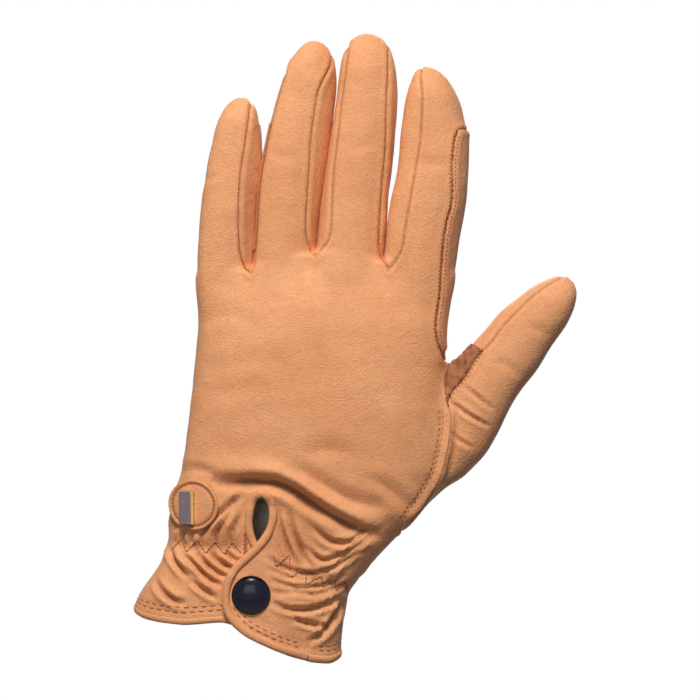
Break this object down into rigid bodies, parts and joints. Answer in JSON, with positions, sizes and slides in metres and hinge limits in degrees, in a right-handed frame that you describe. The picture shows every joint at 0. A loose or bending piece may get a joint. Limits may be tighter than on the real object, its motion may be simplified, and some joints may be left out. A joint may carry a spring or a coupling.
{
  "type": "leather driving glove",
  "caption": "Left leather riding and driving glove with set-in finger sides, elasticated wrist, bound keyhole vent and press-stud flap, shaped as if worn.",
  "frame": {"origin": "middle of the wrist opening", "axes": "+Z along the middle finger, +X across the hand towards the thumb, -Y out of the back of the hand, +Y out of the palm"},
  "size_m": [0.1698, 0.0397, 0.2403],
  "materials": {
    "leather": "smooth matt nappa",
    "reinforcement": "matt, worn",
    "leather_flesh_side": "napped",
    "thread": "matt",
    "elastic": "matt",
    "snap_enamel": "gloss",
    "snap_metal": "satin",
    "badge_metal": "polished"
  },
  "bodies": {
    "hand": {"hand_back": "leather", "hand_palm": "leather", "thumb_heel": "leather", "hand_guard": "reinforcement", "thumb_fork_patch": "reinforcement", "keyhole_binding": "leather", "hem_back_left": "leather_flesh_side", "hem_back_right": "leather_flesh_side", "hem_palm": "leather_flesh_side", "elastic_left": "elastic", "elastic_right": "elastic", "snap_stud": "snap_metal", "badge_disc": "leather", "badge_bar": "badge_metal"},
    "snap_flap": {"flap_leather": "leather", "flap_binding": "leather", "snap_cap": "snap_enamel", "snap_post": "snap_metal", "snap_socket": "snap_metal"},
    "little_base": {"little_base_back": "leather", "little_base_palm": "leather", "little_base_fourchette_inner": "leather", "little_base_rein_patch": "reinforcement"},
    "little_tip": {"little_tip_back": "leather", "little_tip_palm": "leather", "little_tip_fourchette_inner": "leather"},
    "ring_base": {"ring_base_back": "leather", "ring_base_palm": "leather", "ring_base_fourchette_outer": "leather", "ring_base_fourchette_inner": "leather", "ring_base_rein_patch": "reinforcement"},
    "ring_tip": {"ring_tip_back": "leather", "ring_tip_palm": "leather", "ring_tip_fourchette_outer": "leather", "ring_tip_fourchette_inner": "leather"},
    "middle_base": {"middle_base_back": "leather", "middle_base_palm": "leather", "middle_base_fourchette_outer": "leather", "middle_base_fourchette_inner": "leather"},
    "middle_tip": {"middle_tip_back": "leather", "middle_tip_palm": "leather", "middle_tip_fourchette_outer": "leather", "middle_tip_fourchette_inner": "leather"},
    "index_base": {"index_base_back": "leather", "index_base_palm": "leather", "index_base_fourchette_outer": "leather", "index_base_guard": "reinforcement"},
    "index_tip": {"index_tip_back": "leather", "index_tip_palm": "leather", "index_tip_fourchette_outer": "leather", "index_tip_guard": "reinforcement"},
    "thumb_base": {"thumb_base_outer": "leather", "thumb_base_inner": "leather"},
    "thumb_tip": {"thumb_tip_outer": "leather", "thumb_tip_inner": "leather"}
  },
  "joints": [
    {"name": "flap_open", "type": "hinge", "parent": "hand", "child": "snap_flap", "pos_m": [0.02225, -0.0198, 0.016], "axis": [-0.2105, 0, 0.9776], "range_deg": [0, 100]},
    {"name": "little_root_bend", "type": "hinge", "parent": "hand", "child": "little_base", "pos_m": [-0.005, 0.0015, 0.142], "axis": [-0.9962, 0, 0.0872], "range_deg": [-15, 75]},
    {"name": "little_middle_bend", "type": "hinge", "parent": "little_base", "child": "little_tip", "pos_m": [-0.00265, 0.0015, 0.1689], "axis": [-0.9902, 0, 0.1395], "range_deg": [0, 95]},
    {"name": "ring_root_bend", "type": "hinge", "parent": "hand", "child": "ring_base", "pos_m": [0.0182, 0.0015, 0.147], "axis": [-0.9912, 0, 0.1322], "range_deg": [-15, 75]},
    {"name": "ring_middle_bend", "type": "hinge", "parent": "ring_base", "child": "ring_tip", "pos_m": [0.02296, 0.0015, 0.18268], "axis": [-0.9842, 0, 0.1771], "range_deg": [0, 95]},
    {"name": "middle_root_bend", "type": "hinge", "parent": "hand", "child": "middle_base", "pos_m": [0.0445, 0.0015, 0.149], "axis": [-0.995, 0, 0.0995], "range_deg": [-15, 75]},
    {"name": "middle_middle_bend", "type": "hinge", "parent": "middle_base", "child": "middle_tip", "pos_m": [0.04828, 0.0015, 0.18681], "axis": [-0.9949, 0, 0.1006], "range_deg": [0, 95]},
    {"name": "index_root_bend", "type": "hinge", "parent": "hand", "child": "index_base", "pos_m": [0.0713, 0.0015, 0.145], "axis": [-0.9905, 0, 0.1372], "range_deg": [-15, 75]},
    {"name": "index_middle_bend", "type": "hinge", "parent": "index_base", "child": "index_tip", "pos_m": [0.0761, 0.0015, 0.17967], "axis": [-0.9996, 0, 0.0269], "range_deg": [0, 95]},
    {"name": "thumb_root_bend", "type": "hinge", "parent": "hand", "child": "thumb_base", "pos_m": [0.0905, 0.006, 0.086], "axis": [-0.8137, 0, 0.5812], "range_deg": [-10, 40]},
    {"name": "thumb_middle_bend", "type": "hinge", "parent": "thumb_base", "child": "thumb_tip", "pos_m": [0.108, 0.006, 0.1105], "axis": [-0.744, 0, 0.6682], "range_deg": [0, 60]}
  ]
}
